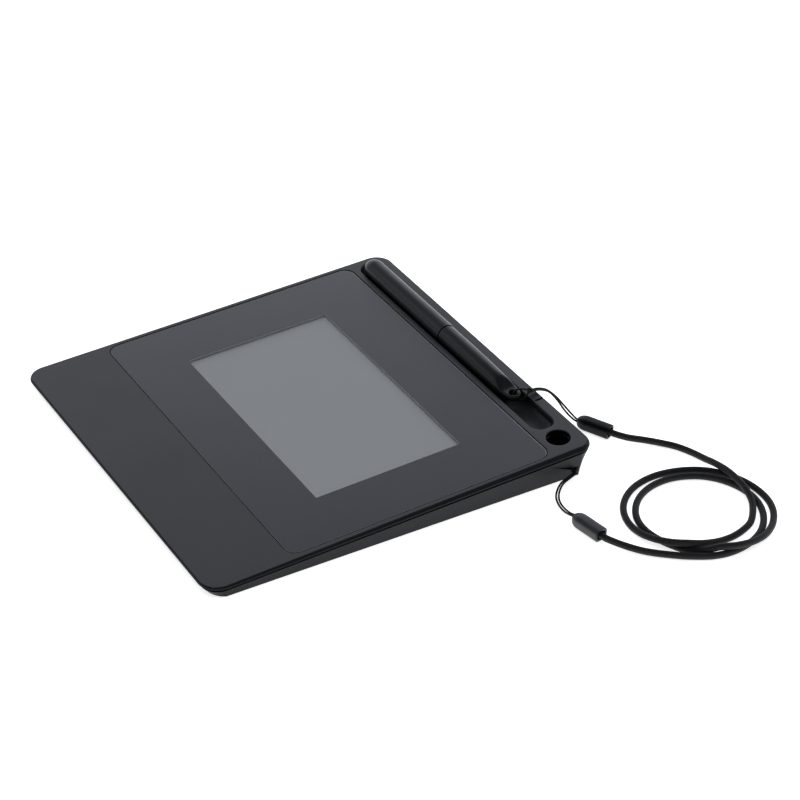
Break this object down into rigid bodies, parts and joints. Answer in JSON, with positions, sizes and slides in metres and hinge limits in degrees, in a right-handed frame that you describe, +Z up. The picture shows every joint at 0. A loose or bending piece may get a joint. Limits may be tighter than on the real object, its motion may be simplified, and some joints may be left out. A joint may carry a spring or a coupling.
{
  "type": "signature pad",
  "caption": "Tilted counter signature pad with a glass writing face, a stylus lying in a rear trough, a pen-stand hole and a coiled tether cord.",
  "frame": {"origin": "middle of the footprint of the pad and pen, on the table, with the tether left out", "axes": "+X to the right of the person who signs, +Y to the back of the pad where the pen lies, +Z up"},
  "size_m": [0.2355, 0.2206, 0.0191],
  "materials": {
    "case_plastic": "fine matte grain, charcoal",
    "cover_glass": "etched anti-glare, grey tint",
    "adhesive_tape": "matt black foam tape",
    "display_panel": "switched-off panel, plain grey",
    "bare_steel": "bright nickel",
    "circuit_board": "green solder mask",
    "black_resin": "matt moulded resin",
    "ribbon_film": "amber polyimide",
    "black_steel": "black oxide",
    "stand_plastic": "smooth black",
    "rubber_foot": "matt black",
    "pen_plastic": "satin black",
    "nib_plastic": "hard worn tip",
    "ferrite_core": "dull sintered grey",
    "soft_pad": "soft silicone",
    "cord_end_plastic": "satin moulded",
    "tether_cord": "tight black braid",
    "loop_string": "twisted black string"
  },
  "bodies": {
    "pad": {"top_cover": "case_plastic", "bottom_cover": "case_plastic", "cover_glass": "cover_glass", "glass_tape": "adhesive_tape", "lcd_cell": "display_panel", "backlight_unit": "bare_steel", "shield_plate": "bare_steel", "crystal_can": "bare_steel", "usb_receptacle": "bare_steel", "tether_pin": "bare_steel", "board_screw_1": "bare_steel", "board_screw_2": "bare_steel", "board_screw_3": "bare_steel", "board_screw_4": "bare_steel", "sensor_board": "circuit_board", "main_board": "circuit_board", "main_chip": "black_resin", "memory_chip": "black_resin", "ribbon_socket": "black_resin", "display_ribbon": "ribbon_film", "housing_screw_1": "black_steel", "housing_screw_2": "black_steel", "housing_screw_3": "black_steel", "housing_screw_4": "black_steel", "pen_stand_cup": "stand_plastic", "foot_front_left": "rubber_foot", "foot_front_right": "rubber_foot", "foot_back_left": "rubber_foot", "foot_back_right": "rubber_foot", "base_cord_end": "cord_end_plastic", "tether_cord_pen_side": "tether_cord", "tether_coil": "tether_cord", "tether_cord_base_side": "tether_cord", "base_loop": "loop_string"},
    "pen": {"pen_front_barrel": "pen_plastic", "pen_rear_barrel": "pen_plastic", "pen_coil": "ferrite_core", "pressure_pad": "soft_pad", "pressure_cell": "bare_steel", "pen_board": "circuit_board", "pen_loop": "loop_string", "pen_cord_end": "cord_end_plastic"},
    "nib": {"pen_nib": "nib_plastic"}
  },
  "joints": [
    {"name": "pen_lift", "type": "slide", "parent": "pad", "child": "pen", "axis": [0, -0.0558, 0.9984], "range_m": [0, 0.03]},
    {"name": "nib_press", "type": "slide", "parent": "pen", "child": "nib", "axis": [1, 0, 0], "range_m": [0, 0.0004], "stiffness_N_per_m": 4000}
  ]
}
